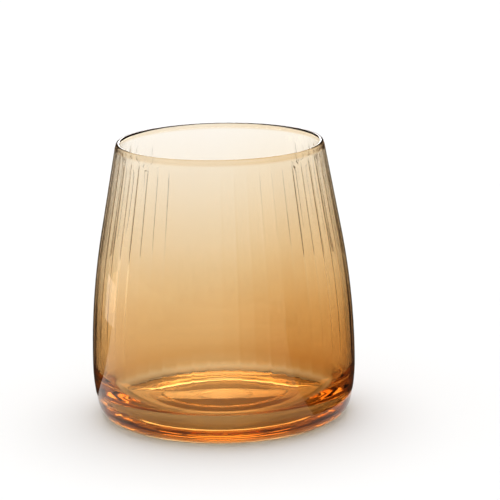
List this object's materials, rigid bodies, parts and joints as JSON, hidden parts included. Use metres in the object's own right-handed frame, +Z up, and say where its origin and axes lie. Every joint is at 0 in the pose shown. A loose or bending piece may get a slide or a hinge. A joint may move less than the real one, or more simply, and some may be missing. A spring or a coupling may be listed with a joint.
{
  "type": "blown glass vase",
  "caption": "Low round-bodied vase in amber glass with fine optic ribs, a melted lip and a thick rounded heel.",
  "frame": {"origin": "centre of the foot, on the surface that the vase stands on", "axes": "+Z up along the axis of the vase, towards its mouth"},
  "size_m": [0.095, 0.095, 0.1],
  "materials": {
    "amber_glass": "gloss",
    "pale_glass": "gloss",
    "deep_glass": "gloss"
  },
  "bodies": {
    "root": {"lip": "pale_glass", "side_wall": "amber_glass", "heel_ring": "deep_glass", "base_disc": "deep_glass", "floor_boss": "amber_glass"}
  },
  "joints": []
}
